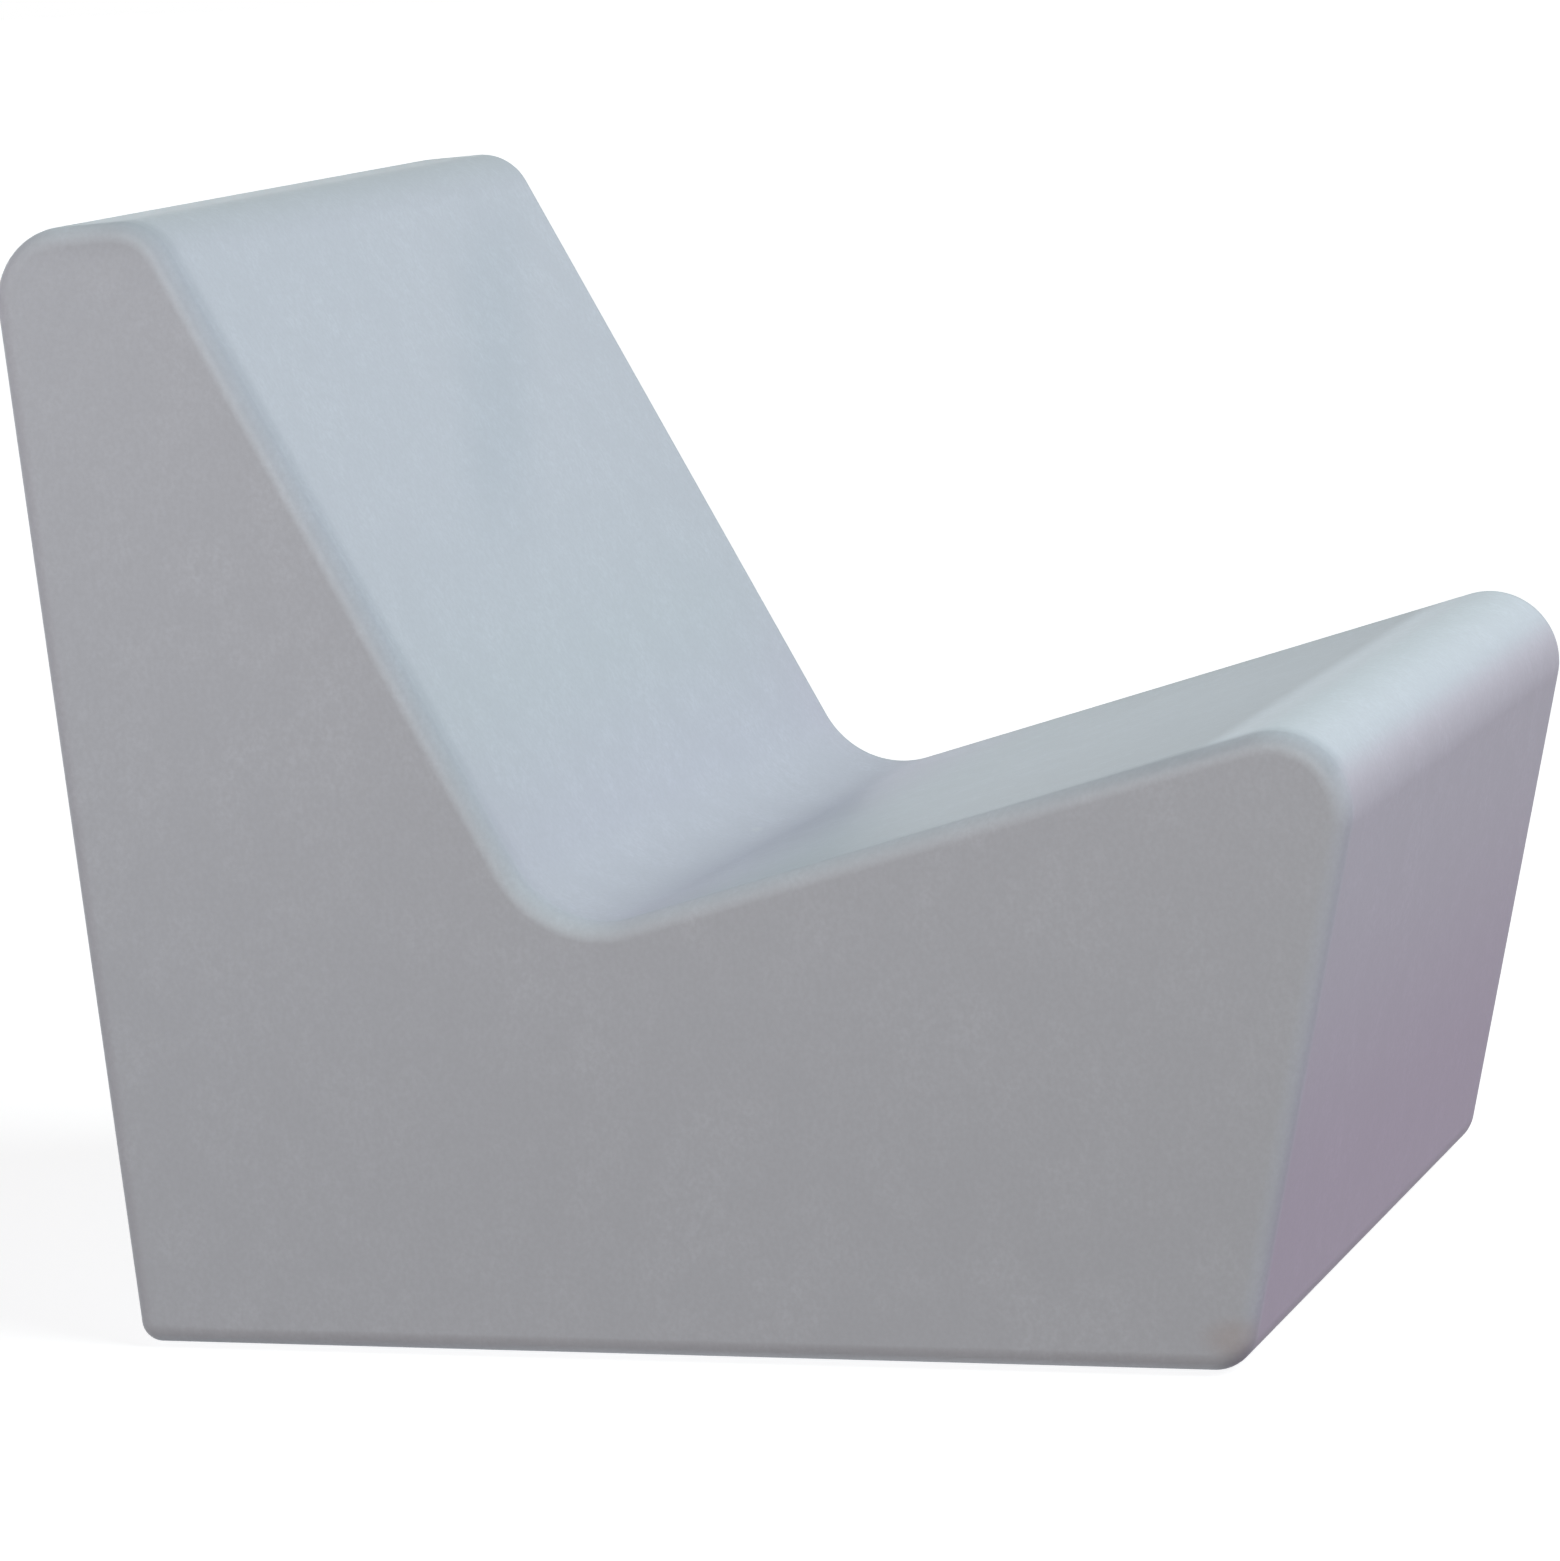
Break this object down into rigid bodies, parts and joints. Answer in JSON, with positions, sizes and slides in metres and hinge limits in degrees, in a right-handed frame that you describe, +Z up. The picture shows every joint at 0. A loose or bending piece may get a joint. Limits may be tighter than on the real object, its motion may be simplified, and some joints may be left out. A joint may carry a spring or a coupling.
{
  "type": "light-up lounge chair",
  "caption": "Armless low lounge chair moulded as one hollow frosted body with a raked seat and reclined back, and a battery light module screwed into a pocket in its base.",
  "frame": {"origin": "on the floor under the middle of the chair's overall width and depth", "axes": "+Z up, the sitter faces -Y, the backrest is at +Y, and the width runs along X"},
  "size_m": [0.67, 0.8415, 0.7046],
  "materials": {
    "body_plastic": "frosted translucent moulded polyethylene with a fine orange-peel texture",
    "glide_rubber": "matt rubber",
    "seal_rubber": "soft silicone",
    "brass": "knurled turned brass",
    "screw_steel": "stainless steel",
    "housing_plastic": "satin moulded plastic",
    "dome_plastic": "clear moulded plastic",
    "reflector_white": "gloss white moulded plastic",
    "led_board_white": "white solder mask on aluminium",
    "led_phosphor": "yellow phosphor in white packages",
    "black_plastic": "fine textured black plastic",
    "cell_wrap": "shrink-wrapped film",
    "contact_plate": "nickel-plated spring steel",
    "board_green": "green solder mask",
    "button_plastic": "satin moulded plastic",
    "lens_clear": "clear light pipe",
    "red_wire": "red cable sheath",
    "white_wire": "white cable sheath"
  },
  "bodies": {
    "chair": {"shell": "body_plastic", "ledge_inserts": "brass", "glide_inserts": "brass", "glides": "glide_rubber", "glide_screws": "screw_steel", "module_gasket": "seal_rubber", "module_housing": "housing_plastic", "module_screws": "screw_steel", "dome": "dome_plastic", "dome_seal": "seal_rubber", "dome_screws": "screw_steel", "reflector": "reflector_white", "reflector_screws": "screw_steel", "led_board": "led_board_white", "led_chips": "led_phosphor", "led_board_screws": "screw_steel", "ir_receiver": "black_plastic", "battery_holder": "black_plastic", "battery_cells": "cell_wrap", "cell_contacts": "contact_plate", "holder_screws": "screw_steel", "control_board": "board_green", "board_parts": "black_plastic", "board_screws": "screw_steel", "power_switch": "black_plastic", "button_seal": "seal_rubber", "charge_jack": "black_plastic", "jack_contact": "contact_plate", "cap_root": "seal_rubber", "status_lens": "lens_clear", "battery_lead": "red_wire", "led_lead": "white_wire"},
    "button": {"power_button": "button_plastic", "switch_plunger": "black_plastic"},
    "cap": {"jack_cap": "seal_rubber"}
  },
  "joints": [
    {"name": "button_press", "type": "slide", "parent": "chair", "child": "button", "axis": [0, 0, 1], "range_m": [0, 0.0015], "stiffness_N_per_m": 400, "springref_m": -0.002},
    {"name": "cap_hinge", "type": "hinge", "parent": "chair", "child": "cap", "pos_m": [0.036, -0.01238, 0.0366], "axis": [0, -1, 0], "range_deg": [0, 120]}
  ]
}
